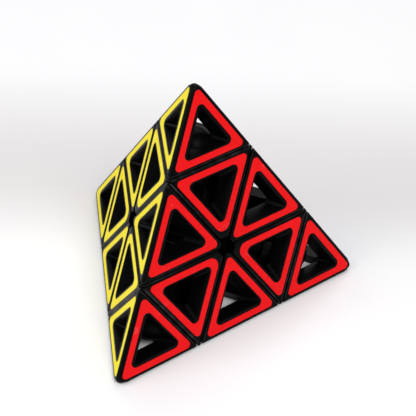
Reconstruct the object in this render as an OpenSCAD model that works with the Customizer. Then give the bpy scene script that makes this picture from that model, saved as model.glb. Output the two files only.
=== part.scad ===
// Pyramid twisting puzzle with skeleton pieces.
// Four corner layers and four corner tips turn about the axes that run from the centre to the corners.
// The pyramid stands on its green face, with one corner straight up (+Z) and one edge towards -Y.
// The origin is the centre of the core, where the four axes meet.

/* [Size] */
// Length of the pyramid's edges, measured to the sharp corners that the rounding takes away
edge = 98; // [96:0.5:108]
// Radius that rounds the six long outer edges
edge_round = 1.0; // [0.6:0.1:1.3]
// How far each of the four points is cut back
point_trim = 3.4; // [2.5:0.1:4]

/* [Frames] */
// Clearance between neighbouring pieces
gap = 0.3; // [0.2:0.05:0.4]
// From a cell's side between two pieces to its window
rail = 3.9; // [3.6:0.1:4.4]
// How much wider a rail is along the pyramid's outer edges
outer_extra = 0.4; // [0:0.1:0.8]
// Depth of the rails round a face's window, square to the face
rail_depth = 4.6; // [4.2:0.1:4.8]
// Slope by which such a window narrows inwards
window_slope = 26; // [22:1:28]
// Depth of the rails along the cuts between the pieces
cut_depth = 2.7; // [2.4:0.1:2.8]
// Radius in the corners of a window
window_round = 1.2; // [0.6:0.1:2]
// Thickness of the plates where a tip turns on its axial piece
floor_t = 2.0; // [1.6:0.1:2.6]

/* [Tiles] */
// From a cell's side to the outside of its coloured tile
tile_inset = 1.3; // [1.1:0.05:1.6]
// Width of a coloured tile's band
tile_band = 2.15; // [1.6:0.05:2.3]
// Thickness of a tile, which lies flush in its recess
tile_t = 0.4; // [0.3:0.05:0.6]
// Outer radius in a tile's corners
tile_round = 1.3; // [0.8:0.1:2]
// The same at the corner of an axial piece's tile that points to the middle of its face
tile_round_centre = 2.8; // [2:0.1:3.2]

/* [Mechanism] */
// Radius of the sphere on which the edge pieces' feet slide under the axial pieces' skirts
slide_r = 14; // [13.5:0.1:14.4]
// Distance of the layer cuts from the centre, inside that sphere
inner_cut = 3; // [2.9:0.05:3.1]
// Thickness of a skirt
skirt_t = 2.0; // [1.6:0.1:2.4]
// Radius of the core's ball
ball_r = 5; // [4.6:0.1:5]
// Radius of the core's arms, on which the axial pieces turn
arm_r = 2.9; // [2.7:0.05:3]
// Radius of an axial piece's stem
stem_r = 4.0; // [3.9:0.05:4]
// Radius of the spigot under a tip, which turns in its axial piece
spigot_r = 4.2; // [4:0.1:4.6]
// Radial clearance of the turning fits
fit = 0.08; // [0.05:0.01:0.1]

/* [Fasteners] */
// Radius of a screw's shank
screw_r = 1.4; // [1.2:0.05:1.5]
// Radius of a screw's head
head_r = 2.6; // [2.3:0.05:2.7]
// Radius of the springs' wire
wire_r = 0.3; // [0.25:0.05:0.35]
// Number of turns in a spring
spring_turns = 5; // [4:1:6]
// Radius of the cap over a screw's head, at its foot
cap_r = 6.6; // [6.2:0.1:6.8]
// Height of that cap
cap_h = 5.0; // [4.6:0.1:5.2]

/* [Hidden] */

// Corners. A face is known by its colour, and its number is that of the corner opposite to it.
TOP = 0;
FRONT = 1;
RIGHT = 2;
LEFT = 3;
GREEN = TOP;
BLUE = FRONT;
YELLOW = RIGHT;
RED = LEFT;

black_plastic = [0.05, 0.05, 0.055];
dark_plastic = [0.09, 0.09, 0.095];
steel = [0.62, 0.62, 0.64];
red_tile = [0.92, 0.05, 0.07];
yellow_tile = [0.98, 0.88, 0.12];
blue_tile = [0.04, 0.22, 0.72];
green_tile = [0.03, 0.55, 0.18];

// The pyramid: distances from its centre, and its triangular cells, nine to a face
height = edge * sqrt(2 / 3);
vertex_r = height * 3 / 4;
face_r = height / 4;
edge_r = edge / sqrt(8);
cell = edge / 3;
cell_in = cell / sqrt(12);
cell_out = cell / sqrt(3);
half_dihedral = asin(1 / sqrt(3));

// The planes that part the pieces, square to each corner's axis
tip_cut = vertex_r - height / 3;
layer_cut = vertex_r - height * 2 / 3;
half_gap = gap / 2;
tip_floor_z = tip_cut + half_gap + floor_t;
axial_top_z = tip_cut - half_gap;

// Outer radius and inner radius of the sliding sphere's two sides, and the ball's clearance
foot_r = slide_r - half_gap;
skirt_r = slide_r + half_gap;
ball_clearance = 0.35;

// The stack along each axis: core arm, counterbore in the axial piece, spigot, spring, washer, screw
arm_top = slide_r + 2.2;
arm_play = 0.5;
thread_bottom = ball_r + 2.5;
thread_end_play = 0.5;
thread_clearance = 0.05;
shank_clearance = 0.25;
counterbore_z = axial_top_z - 8;
spigot_z = counterbore_z + gap;
spigot_floor = 1.4;
boss_wall = 1.5;
boss_floor = 1.9;
well_r = 3.0;
coil_r = 2.3;
coil_sides = 6;
rings_per_turn = 12;
spring_play = 0.05;
spring_z = spigot_z + spigot_floor + spring_play;
washer_z = tip_floor_z + 0.5;
washer_t = 0.4;
washer_r = 2.8;
washer_clearance = 0.1;
head_z = washer_z + washer_t;
head_h = 1.1;
slot_w = 0.7;
slot_length = 1.3 * head_r;
slot_depth = 0.6;
cap_wall = 0.8;
cap_play = 0.12;

// Where six pieces meet at the middle of a face, their corners are cut back
axial_relief = 3.2;
edge_relief = 2.4;
relief_depth = 6;
relief_w = 10;

// The cone that softens the end of each point: its radius at the end, and its slope
point_end_r = 0.8;
point_slope = 50;
point_cone_h = 2;

// Larger than any distance in the puzzle
far = 2 * edge;
// How far a cutter reaches past what it cuts, and how far a boss is sunk into the plate it stands on
spill = 1;
sink = 0.5;
// Straight steps that make a rounding, in a cell's corner and along an outer edge
arc_steps = 5;
edge_steps = 4;
tile_play = 0.03;
// How far a window plate reaches past its cell, and the rounding of its own corners
plate_spare = 3;
plate_round = 0.5;
border = rail - tile_inset - tile_band;

function unit(v) = v / norm(v);

// Unit vector from the centre to corner i
function axis_of(i) = i == TOP ? [0, 0, 1]
    : let (a = 120 * i - 210) [sqrt(8) / 3 * cos(a), sqrt(8) / 3 * sin(a), -1 / 3];

// A matrix that carries +Z to z and +X to the part of x that is square to z, and the origin to p
function seat(z, x, p) = let (u = unit(x - (x * z) * z), v = cross(z, u))
    [for (k = [0:2]) [u[k], v[k], z[k], p[k]]];

// Crossing point of two of a cell's sides. a and b are their outward directions, and p and q their
// distances from the cell's centre.
function crossing(a, b, p, q) =
    [p * sin(b) - q * sin(a), q * cos(a) - p * cos(b)] / sin(b - a);

// A cell's outline with its point towards +X: base and side are the insets of its sides, and the
// corners are rounded by r_point at its point and r_base at its other two
function cell_outline(base, side, r_point, r_base) = [
    for (k = [0:2])
        let (
            a = 120 * k - 60,
            r = k == 0 ? r_point : r_base,
            p = cell_in - r - (k == 2 ? base : side),
            q = cell_in - r - (k == 1 ? base : side),
            c = crossing(a, a + 120, p, q)
        )
        for (s = [0:arc_steps]) c + r * [cos(a + 120 * s / arc_steps), sin(a + 120 * s / arc_steps)]
];

// Extra width of a rail or an inset along a cell's base and its sides. Only an edge piece's base and
// a tip's sides lie on the pyramid's outer edges.
function base_extra(kind) = kind == "edge" ? outer_extra : 0;
function side_extra(kind) = kind == "tip" ? outer_extra : 0;

function outline_at(kind, inset, r_point, r_base) =
    cell_outline(inset + base_extra(kind), inset + side_extra(kind), r_point, r_base);

// ---------------------------------------------------------------- placing

// Moves what is made for the top corner to corner i
module at_corner(i) {
    if (i == TOP) children();
    else rotate(180, axis_of(TOP) + axis_of(i)) children();
}

// Moves what is made for the edge from the top corner to the front corner to the edge from i to j
module at_edge(i, j) {
    if (i == TOP) rotate([0, 0, 120 * (j - 1)]) children();
    else rotate(180, axis_of(TOP) + axis_of(i)) rotate([0, 0, 120 * (5 - i - j)]) children();
}

// Puts a flat shape on the cell of a face, with +Z outwards. towards is the corner that the cell
// belongs to, or for an edge piece's cell the corner of that face that it is furthest from.
module on_cell(kind, face, towards) {
    multmatrix(seat(-axis_of(face), axis_of(towards), -face_r * axis_of(face)))
    translate([kind == "tip" ? 2 * cell_out : kind == "axial" ? cell_out : -cell_out, 0, 0])
    rotate([0, 0, kind == "axial" ? 180 : 0])
    children();
}

// Puts a flat shape on the cut between an edge piece and the axial piece of corner near, with +Z
// towards corner across, whose layer cut this is
module on_cut(near, across, distance) {
    multmatrix(seat(axis_of(across), axis_of(near), distance * axis_of(across)))
    translate([cell_out, 0, 0])
    children();
}

// All space that lies further than d from the centre towards corner i
module beyond(i, d) {
    at_corner(i) translate([-far / 2, -far / 2, d]) cube(far);
}

// All space that lies nearer than d
module within(i, d) {
    at_corner(i) translate([-far / 2, -far / 2, d - far]) cube(far);
}

// ---------------------------------------------------------------- outer form

module pyramid() {
    polyhedron(
        points = [for (i = [TOP:LEFT]) vertex_r * axis_of(i)],
        faces = [[1, 2, 3], [0, 3, 2], [0, 1, 3], [0, 2, 1]]
    );
}

// What the rounding takes away along the edge from the top corner to the front corner
module edge_waste() {
    middle = axis_of(TOP) + axis_of(FRONT);
    reach = 90 - half_dihedral;
    centre_x = edge_r - edge_round / sin(half_dihedral);
    outside = 3 * edge_round;
    multmatrix(seat(unit(axis_of(TOP) - axis_of(FRONT)), middle, [0, 0, 0]))
    translate([centre_x, 0, -far / 2])
    linear_extrude(far)
    polygon(concat(
        [for (s = [0:edge_steps]) let (a = reach * (2 * s / edge_steps - 1))
            edge_round * [cos(a), sin(a)]],
        [[outside * cos(reach), outside * sin(reach)], [2 * outside, 0],
         [outside * cos(reach), -outside * sin(reach)]]
    ));
}

// What is taken away round the top corner's point: all but a blunt cone
module point_waste() {
    end_z = vertex_r - point_trim;
    difference() {
        translate([0, 0, end_z - point_cone_h]) cylinder(r = 3 * point_cone_h, h = far);
        translate([0, 0, end_z - point_cone_h])
            cylinder(r1 = point_end_r + point_cone_h * tan(point_slope), r2 = point_end_r,
                h = point_cone_h);
    }
}

// The whole pyramid, rounded along the three edges that meet at the top, and blunted there
module top_form() {
    difference() {
        pyramid();
        for (j = [FRONT:LEFT]) at_edge(TOP, j) edge_waste();
        point_waste();
    }
}

// ---------------------------------------------------------------- frames

// A plate that reaches past its cell on all sides
module blank_plate(depth) {
    translate([0, 0, -depth]) linear_extrude(depth + spill)
        polygon(cell_outline(-plate_spare, -plate_spare, plate_round, plate_round));
}

// The space through a face's window, which narrows inwards
module funnel(kind) {
    narrow = tan(window_slope);
    top = outline_at(kind, rail - spill * narrow, window_round, window_round);
    bottom = outline_at(kind, rail + (rail_depth + spill) * narrow, window_round, window_round);
    n = len(top);
    polyhedron(
        points = concat(
            [for (c = bottom) [c[0], c[1], -rail_depth - spill]],
            [for (c = top) [c[0], c[1], spill]]
        ),
        faces = concat(
            [[for (k = [0:n - 1]) k]],
            [[for (k = [0:n - 1]) 2 * n - 1 - k]],
            [for (k = [0:n - 1]) let (m = (k + 1) % n) [k, k + n, m + n, m]]
        )
    );
}

// A plate under a cell's face, with its window
module face_plate(kind) {
    difference() {
        blank_plate(rail_depth);
        funnel(kind);
    }
}

// A plate along a cut between two pieces, with its straight window
module cut_plate() {
    difference() {
        blank_plate(cut_depth);
        translate([0, 0, -cut_depth - spill]) linear_extrude(cut_depth + 3 * spill)
            polygon(cell_outline(rail, rail, window_round, window_round));
    }
}

// A tile's outline as a ring. play makes it smaller on both sides.
module ring(kind, play = 0) {
    inner_r = window_round + border;
    r_point = kind == "axial" ? tile_round_centre : tile_round;
    difference() {
        polygon(outline_at(kind, tile_inset + play, r_point - play, tile_round - play));
        polygon(outline_at(kind, tile_inset + tile_band - play, inner_r + play, inner_r + play));
    }
}

// What is cut from a cell's corner that points to +X, from x on
module relief(x) {
    translate([x, -relief_w / 2, -relief_depth]) cube([relief_w, relief_w, relief_depth + spill]);
}

module recess(kind) {
    translate([0, 0, -tile_t]) linear_extrude(tile_t + spill) ring(kind);
}

module tile(kind, face, towards) {
    on_cell(kind, face, towards) translate([0, 0, -tile_t]) linear_extrude(tile_t) ring(kind, tile_play);
}

// ---------------------------------------------------------------- tips

module tip_frame() {
    intersection() {
        top_form();
        beyond(TOP, tip_cut + half_gap);
        union() {
            for (f = [FRONT:LEFT]) on_cell("tip", f, TOP) face_plate("tip");
            within(TOP, tip_floor_z);
        }
    }
}

// The ball that a tip's screw cap is a part of, with room of play round it, above the tip's floor
module cap_ball(wall = 0) {
    ball = (cap_r * cap_r + cap_h * cap_h) / (2 * cap_h);
    intersection() {
        translate([0, 0, tip_floor_z + cap_h - ball]) sphere(r = ball - wall);
        beyond(TOP, tip_floor_z);
    }
}

// A tip: an open frame on a floor, and the spigot that turns in the axial piece and holds the spring
module tip() {
    difference() {
        union() {
            tip_frame();
            translate([0, 0, spigot_z]) cylinder(r = spigot_r, h = tip_floor_z - spigot_z - sink);
        }
        for (f = [FRONT:LEFT]) on_cell("tip", f, TOP) recess("tip");
        cap_ball(-cap_play);
        translate([0, 0, spigot_z + spigot_floor])
            cylinder(r = well_r, h = tip_floor_z - spigot_z);
        translate([0, 0, spigot_z - spill])
            cylinder(r = screw_r + shank_clearance, h = spigot_floor + 2 * spill);
    }
}

// The domed cap that stands on a tip's floor over the screw
module screw_cap() {
    difference() {
        cap_ball();
        cap_ball(cap_wall);
    }
}

// ---------------------------------------------------------------- axial pieces

// The open eight-sided frame, cut away round the sliding sphere
module axial_frame() {
    difference() {
        intersection() {
            top_form();
            within(TOP, axial_top_z);
            beyond(TOP, layer_cut + half_gap);
            intersection_for (k = [FRONT:LEFT]) within(k, layer_cut - half_gap);
            union() {
                for (f = [FRONT:LEFT]) on_cell("axial", f, TOP) face_plate("axial");
                for (k = [FRONT:LEFT]) on_cut(TOP, k, layer_cut - half_gap) cut_plate();
                beyond(TOP, axial_top_z - floor_t);
            }
        }
        sphere(r = skirt_r);
        for (f = [FRONT:LEFT]) on_cell("axial", f, TOP)
            relief(cell_out - axial_relief);
    }
}

// The part of a shell between two spheres that lies in an axial piece's own space
module skirt() {
    intersection() {
        difference() {
            sphere(r = skirt_r + skirt_t);
            sphere(r = skirt_r);
        }
        beyond(TOP, layer_cut + half_gap);
        intersection_for (k = [FRONT:LEFT]) within(k, layer_cut - half_gap);
    }
}

// An axial piece: the frame, the skirt that holds the edge pieces' feet, and the stem on the core
module axial() {
    boss_z = counterbore_z - boss_floor;
    difference() {
        union() {
            axial_frame();
            skirt();
            cylinder(r = stem_r, h = boss_z + sink);
            translate([0, 0, boss_z])
                cylinder(r = spigot_r + fit + boss_wall, h = axial_top_z - boss_z - sink);
        }
        sphere(r = ball_r + ball_clearance);
        for (f = [FRONT:LEFT]) on_cell("axial", f, TOP) recess("axial");
        cylinder(r = arm_r + fit, h = arm_top + arm_play);
        cylinder(r = screw_r + shank_clearance, h = counterbore_z + spill);
        translate([0, 0, counterbore_z]) cylinder(r = spigot_r + fit, h = far);
    }
}

// ---------------------------------------------------------------- edge pieces

// The open four-sided frame between the top corner's layer and the front corner's layer
module edge_frame() {
    difference() {
        pyramid();
        edge_waste();
        within(TOP, layer_cut + half_gap);
        within(FRONT, layer_cut + half_gap);
        for (f = [RIGHT, LEFT]) on_cell("edge", f, RIGHT + LEFT - f)
            relief(cell_out - edge_relief);
    }
}

module edge_windows() {
    for (f = [RIGHT, LEFT]) on_cell("edge", f, RIGHT + LEFT - f) face_plate("edge");
    on_cut(TOP, FRONT, layer_cut + half_gap) mirror([0, 0, 1]) cut_plate();
    on_cut(FRONT, TOP, layer_cut + half_gap) mirror([0, 0, 1]) cut_plate();
}

// The foot inside the sliding sphere, which two layers share
module foot() {
    intersection() {
        difference() {
            sphere(r = foot_r);
            sphere(r = ball_r + ball_clearance);
        }
        beyond(TOP, inner_cut + half_gap);
        beyond(FRONT, inner_cut + half_gap);
        within(RIGHT, inner_cut - half_gap);
        within(LEFT, inner_cut - half_gap);
    }
}

module edge_piece() {
    union() {
        difference() {
            intersection() {
                edge_frame();
                edge_windows();
            }
            for (f = [RIGHT, LEFT]) on_cell("edge", f, RIGHT + LEFT - f) recess("edge");
        }
        foot();
    }
}

// ---------------------------------------------------------------- core and fasteners

// The ball with four arms, each bored for a corner screw
module core() {
    color(dark_plastic)
    difference() {
        union() {
            sphere(r = ball_r);
            for (i = [TOP:LEFT]) at_corner(i) cylinder(r = arm_r, h = arm_top);
        }
        for (i = [TOP:LEFT]) at_corner(i)
            translate([0, 0, thread_bottom]) cylinder(r = screw_r + thread_clearance, h = far);
    }
}

module corner_screws() {
    color(steel)
    for (i = [TOP:LEFT]) at_corner(i)
        difference() {
            union() {
                translate([0, 0, thread_bottom + thread_end_play])
                    cylinder(r = screw_r, h = head_z - thread_bottom);
                translate([0, 0, head_z]) cylinder(r = head_r, h = head_h);
            }
            for (turn = [0, 90]) rotate([0, 0, turn])
                translate([-slot_length / 2, -slot_w / 2, head_z + head_h - slot_depth])
                    cube([slot_length, slot_w, spill]);
        }
}

// A coil spring's surface: rings of points round the wire's helix
module coil(r, wire, turns, length) {
    sides = coil_sides;
    rings = rings_per_turn * turns;
    points = [
        for (n = [0:rings]) let (a = 360 * turns * n / rings, z = wire + (length - 2 * wire) * n / rings)
            for (s = [0:sides - 1]) let (b = 360 * s / sides, d = r + wire * cos(b))
                [d * cos(a), d * sin(a), z + wire * sin(b)]
    ];
    walls = [
        for (n = [0:rings - 1]) for (s = [0:sides - 1]) let (t = (s + 1) % sides)
            [n * sides + s, n * sides + t, (n + 1) * sides + t, (n + 1) * sides + s]
    ];
    first = [for (s = [0:sides - 1]) sides - 1 - s];
    last = [for (s = [0:sides - 1]) rings * sides + s];
    polyhedron(points = points, faces = concat(walls, [first], [last]));
}

module tension_springs() {
    color(steel)
    for (i = [TOP:LEFT]) at_corner(i)
        translate([0, 0, spring_z]) coil(coil_r, wire_r, spring_turns, washer_z - spring_z - spring_play);
}

module spring_washers() {
    color(steel)
    for (i = [TOP:LEFT]) at_corner(i)
        difference() {
            translate([0, 0, washer_z]) cylinder(r = washer_r, h = washer_t);
            translate([0, 0, washer_z - spill])
                cylinder(r = screw_r + washer_clearance, h = washer_t + 2 * spill);
        }
}

// ---------------------------------------------------------------- the pieces by name

module tip_top() { color(black_plastic) at_corner(TOP) tip(); }
module tip_front() { color(black_plastic) at_corner(FRONT) tip(); }
module tip_right() { color(black_plastic) at_corner(RIGHT) tip(); }
module tip_left() { color(black_plastic) at_corner(LEFT) tip(); }

module screw_cap_top() { color(dark_plastic) at_corner(TOP) screw_cap(); }
module screw_cap_front() { color(dark_plastic) at_corner(FRONT) screw_cap(); }
module screw_cap_right() { color(dark_plastic) at_corner(RIGHT) screw_cap(); }
module screw_cap_left() { color(dark_plastic) at_corner(LEFT) screw_cap(); }

module axial_top() { color(black_plastic) at_corner(TOP) axial(); }
module axial_front() { color(black_plastic) at_corner(FRONT) axial(); }
module axial_right() { color(black_plastic) at_corner(RIGHT) axial(); }
// The left one is the right one's mirror image
module axial_left() { color(black_plastic) mirror([1, 0, 0]) axial_right(); }

module edge_top_front() { color(black_plastic) at_edge(TOP, FRONT) edge_piece(); }
module edge_top_right() { color(black_plastic) at_edge(TOP, RIGHT) edge_piece(); }
module edge_top_left() { color(black_plastic) at_edge(TOP, LEFT) edge_piece(); }
module edge_front_right() { color(black_plastic) at_edge(FRONT, RIGHT) edge_piece(); }
module edge_front_left() { color(black_plastic) at_edge(FRONT, LEFT) edge_piece(); }
module edge_right_left() { color(black_plastic) at_edge(RIGHT, LEFT) edge_piece(); }

module tile_red_tip_top() { color(red_tile) tile("tip", RED, TOP); }
module tile_yellow_tip_top() { color(yellow_tile) tile("tip", YELLOW, TOP); }
module tile_blue_tip_top() { color(blue_tile) tile("tip", BLUE, TOP); }
module tile_red_tip_front() { color(red_tile) tile("tip", RED, FRONT); }
module tile_yellow_tip_front() { color(yellow_tile) tile("tip", YELLOW, FRONT); }
module tile_green_tip_front() { color(green_tile) tile("tip", GREEN, FRONT); }
module tile_red_tip_right() { color(red_tile) tile("tip", RED, RIGHT); }
module tile_blue_tip_right() { color(blue_tile) tile("tip", BLUE, RIGHT); }
module tile_green_tip_right() { color(green_tile) tile("tip", GREEN, RIGHT); }
module tile_yellow_tip_left() { color(yellow_tile) tile("tip", YELLOW, LEFT); }
module tile_blue_tip_left() { color(blue_tile) tile("tip", BLUE, LEFT); }
module tile_green_tip_left() { color(green_tile) tile("tip", GREEN, LEFT); }
module tile_red_axial_top() { color(red_tile) tile("axial", RED, TOP); }
module tile_yellow_axial_top() { color(yellow_tile) tile("axial", YELLOW, TOP); }
module tile_blue_axial_top() { color(blue_tile) tile("axial", BLUE, TOP); }
module tile_red_axial_front() { color(red_tile) tile("axial", RED, FRONT); }
module tile_yellow_axial_front() { color(yellow_tile) tile("axial", YELLOW, FRONT); }
module tile_green_axial_front() { color(green_tile) tile("axial", GREEN, FRONT); }
module tile_red_axial_right() { color(red_tile) tile("axial", RED, RIGHT); }
module tile_blue_axial_right() { color(blue_tile) tile("axial", BLUE, RIGHT); }
module tile_green_axial_right() { color(green_tile) tile("axial", GREEN, RIGHT); }
module tile_yellow_axial_left() { color(yellow_tile) tile("axial", YELLOW, LEFT); }
module tile_blue_axial_left() { color(blue_tile) tile("axial", BLUE, LEFT); }
module tile_green_axial_left() { color(green_tile) tile("axial", GREEN, LEFT); }
module tile_red_edge_top_front() { color(red_tile) tile("edge", RED, RIGHT); }
module tile_yellow_edge_top_front() { color(yellow_tile) tile("edge", YELLOW, LEFT); }
module tile_red_edge_top_right() { color(red_tile) tile("edge", RED, FRONT); }
module tile_blue_edge_top_right() { color(blue_tile) tile("edge", BLUE, LEFT); }
module tile_yellow_edge_top_left() { color(yellow_tile) tile("edge", YELLOW, FRONT); }
module tile_blue_edge_top_left() { color(blue_tile) tile("edge", BLUE, RIGHT); }
module tile_red_edge_front_right() { color(red_tile) tile("edge", RED, TOP); }
module tile_green_edge_front_right() { color(green_tile) tile("edge", GREEN, LEFT); }
module tile_yellow_edge_front_left() { color(yellow_tile) tile("edge", YELLOW, TOP); }
module tile_green_edge_front_left() { color(green_tile) tile("edge", GREEN, RIGHT); }
module tile_blue_edge_right_left() { color(blue_tile) tile("edge", BLUE, TOP); }
module tile_green_edge_right_left() { color(green_tile) tile("edge", GREEN, FRONT); }

core();
corner_screws();
tension_springs();
spring_washers();
tip_top();
tip_front();
tip_right();
tip_left();
screw_cap_top();
screw_cap_front();
screw_cap_right();
screw_cap_left();
axial_top();
axial_front();
axial_right();
axial_left();
edge_top_front();
edge_top_right();
edge_top_left();
edge_front_right();
edge_front_left();
edge_right_left();
tile_red_tip_top();
tile_yellow_tip_top();
tile_blue_tip_top();
tile_red_tip_front();
tile_yellow_tip_front();
tile_green_tip_front();
tile_red_tip_right();
tile_blue_tip_right();
tile_green_tip_right();
tile_yellow_tip_left();
tile_blue_tip_left();
tile_green_tip_left();
tile_red_axial_top();
tile_yellow_axial_top();
tile_blue_axial_top();
tile_red_axial_front();
tile_yellow_axial_front();
tile_green_axial_front();
tile_red_axial_right();
tile_blue_axial_right();
tile_green_axial_right();
tile_yellow_axial_left();
tile_blue_axial_left();
tile_green_axial_left();
tile_red_edge_top_front();
tile_yellow_edge_top_front();
tile_red_edge_top_right();
tile_blue_edge_top_right();
tile_yellow_edge_top_left();
tile_blue_edge_top_left();
tile_red_edge_front_right();
tile_green_edge_front_right();
tile_yellow_edge_front_left();
tile_green_edge_front_left();
tile_blue_edge_right_left();
tile_green_edge_right_left();
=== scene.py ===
"""A pyramid twisting puzzle with open pieces: black moulded frames, flat coloured tiles and a sprung core.

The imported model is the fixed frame. Each moulded piece is its own solid with softened edges, the tiles are
made by one rule for all thirty-six cells, and the screws, springs and washers are set on the four axes.
"""

import logging
import math
from dataclasses import dataclass, field
from enum import Enum

import bmesh
import bpy
from mathutils import Matrix, Vector

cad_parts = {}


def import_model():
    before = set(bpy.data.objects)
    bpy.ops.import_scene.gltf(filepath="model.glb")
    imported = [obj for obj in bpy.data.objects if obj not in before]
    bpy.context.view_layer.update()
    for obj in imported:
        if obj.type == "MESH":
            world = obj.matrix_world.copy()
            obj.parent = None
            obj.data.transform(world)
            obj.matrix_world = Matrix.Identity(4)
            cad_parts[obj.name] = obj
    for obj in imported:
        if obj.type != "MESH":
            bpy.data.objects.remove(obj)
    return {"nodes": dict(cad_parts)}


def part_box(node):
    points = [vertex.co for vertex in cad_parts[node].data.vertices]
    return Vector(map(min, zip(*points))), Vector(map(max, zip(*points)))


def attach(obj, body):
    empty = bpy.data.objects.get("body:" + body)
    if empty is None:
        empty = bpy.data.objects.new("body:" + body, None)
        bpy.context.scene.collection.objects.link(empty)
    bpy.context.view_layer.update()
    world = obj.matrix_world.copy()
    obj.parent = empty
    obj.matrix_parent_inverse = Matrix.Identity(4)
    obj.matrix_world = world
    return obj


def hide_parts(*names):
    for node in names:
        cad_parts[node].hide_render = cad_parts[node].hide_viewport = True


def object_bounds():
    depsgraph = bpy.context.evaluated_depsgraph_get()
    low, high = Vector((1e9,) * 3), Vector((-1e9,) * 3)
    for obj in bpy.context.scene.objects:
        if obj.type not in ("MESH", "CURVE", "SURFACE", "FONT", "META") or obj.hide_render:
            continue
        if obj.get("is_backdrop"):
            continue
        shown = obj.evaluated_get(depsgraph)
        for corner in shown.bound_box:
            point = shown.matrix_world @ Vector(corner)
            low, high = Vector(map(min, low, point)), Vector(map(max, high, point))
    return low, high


log = logging.getLogger("pyramid_puzzle")

MM = 0.001
# Points closer than this are one point
SAME_POINT = 0.001 * MM
# An edge of a turned part that turns more than this many degrees stays sharp in the shading
TURNED_SHADE_ANGLE = 38.0


# ------------------------------------------------------------------------------------------ the puzzle's layout


class Corner(Enum):
    """The pyramid's four corners."""

    TOP = "top"
    FRONT = "front"
    RIGHT = "right"
    LEFT = "left"

    @property
    def axis(self) -> Vector:
        """The unit vector from the puzzle's centre to this corner."""
        if self is Corner.TOP:
            return Vector((0.0, 0.0, 1.0))
        compass = {Corner.FRONT: -90.0, Corner.RIGHT: 30.0, Corner.LEFT: 150.0}[self]
        level = math.sqrt(8.0) / 3.0
        angle = math.radians(compass)
        return Vector((level * math.cos(angle), level * math.sin(angle), -1.0 / 3.0))

    @property
    def turn(self) -> Matrix:
        """The half turn that carries what is made for the top corner to this corner."""
        if self is Corner.TOP:
            return Matrix.Identity(4)
        return Matrix.Rotation(math.pi, 4, (Corner.TOP.axis + self.axis).normalized())


class FaceColour(Enum):
    """The four faces, each known by its tiles' colour."""

    RED = "red"
    YELLOW = "yellow"
    BLUE = "blue"
    GREEN = "green"

    @property
    def opposite(self) -> Corner:
        """The corner that this face lies across from."""
        return {
            FaceColour.RED: Corner.LEFT,
            FaceColour.YELLOW: Corner.RIGHT,
            FaceColour.BLUE: Corner.FRONT,
            FaceColour.GREEN: Corner.TOP,
        }[self]


class CellKind(Enum):
    """The three kinds of triangular cell on a face."""

    TIP = "tip"
    AXIAL = "axial"
    EDGE = "edge"


@dataclass(frozen=True)
class PyramidForm:
    """The pyramid's sizes, which place every cell.

    Attributes:
        edge: Length of the pyramid's sharp edge.
        gap: Clearance between neighbouring pieces.
    """

    edge: float = 98.0 * MM
    gap: float = 0.3 * MM

    @property
    def height(self) -> float:
        """The sharp pyramid's height."""
        return self.edge * math.sqrt(2.0 / 3.0)

    @property
    def face_r(self) -> float:
        """Distance of the faces from the centre."""
        return self.height / 4.0

    @property
    def cell_in(self) -> float:
        """Radius of the circle inside a cell."""
        return self.edge / 3.0 / math.sqrt(12.0)

    @property
    def cell_out(self) -> float:
        """Radius of the circle round a cell."""
        return 2.0 * self.cell_in

    @property
    def tip_floor_z(self) -> float:
        """Height of a tip's floor along its corner's axis."""
        return self.height * 3.0 / 4.0 - self.height / 3.0 + self.gap / 2.0 + 2.0 * MM

    def cell_place(self, kind: CellKind, face: FaceColour, towards: Corner) -> Matrix:
        """Gives the placement of a cell, with +Z out of its face and its point along +X.

        Args:
            kind: Which kind of cell it is.
            face: The face that it lies on.
            towards: Its own corner, or for an edge cell the corner of the face that it is furthest from.

        Returns:
            The matrix from the cell's flat drawing to the puzzle.
        """
        outward = -face.opposite.axis
        along = towards.axis - towards.axis.dot(outward) * outward
        along.normalize()
        across = outward.cross(along)
        middle = outward * self.face_r
        seat = Matrix(
            [[along[k], across[k], outward[k], middle[k]] for k in range(3)]
            + [[0.0, 0.0, 0.0, 1.0]]
        )
        shift = {
            CellKind.TIP: 2.0 * self.cell_out,
            CellKind.AXIAL: self.cell_out,
            CellKind.EDGE: -self.cell_out,
        }[kind]
        half_turn = math.pi if kind is CellKind.AXIAL else 0.0
        return (seat @ Matrix.Translation((shift, 0.0, 0.0)) @ Matrix.Rotation(half_turn, 4, "Z"))


@dataclass(frozen=True)
class TileName:
    """What a tile's node name says about where it lies.

    Attributes:
        node: The node's name, as tile_COLOUR_KIND_CORNERS.
    """

    node: str

    @property
    def face(self) -> FaceColour:
        """The face that the tile lies on."""
        return FaceColour(self.node.split("_")[1])

    @property
    def kind(self) -> CellKind:
        """The kind of cell that it fills."""
        return CellKind(self.node.split("_")[2])

    @property
    def corners(self) -> list[Corner]:
        """The corner or the two corners of the piece that it is on."""
        return [Corner(word) for word in self.node.split("_")[3:]]

    @property
    def towards(self) -> Corner:
        """The corner that its cell points to or away from along the face."""
        if self.kind is not CellKind.EDGE:
            return self.corners[0]
        others = [c for c in Corner if c not in (*self.corners, self.face.opposite)]
        return others[0]

    @property
    def body(self) -> str:
        """The moving body that the tile is fixed to."""
        return "_".join(self.node.split("_")[2:])


# ------------------------------------------------------------------------------------------ node trees


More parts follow.
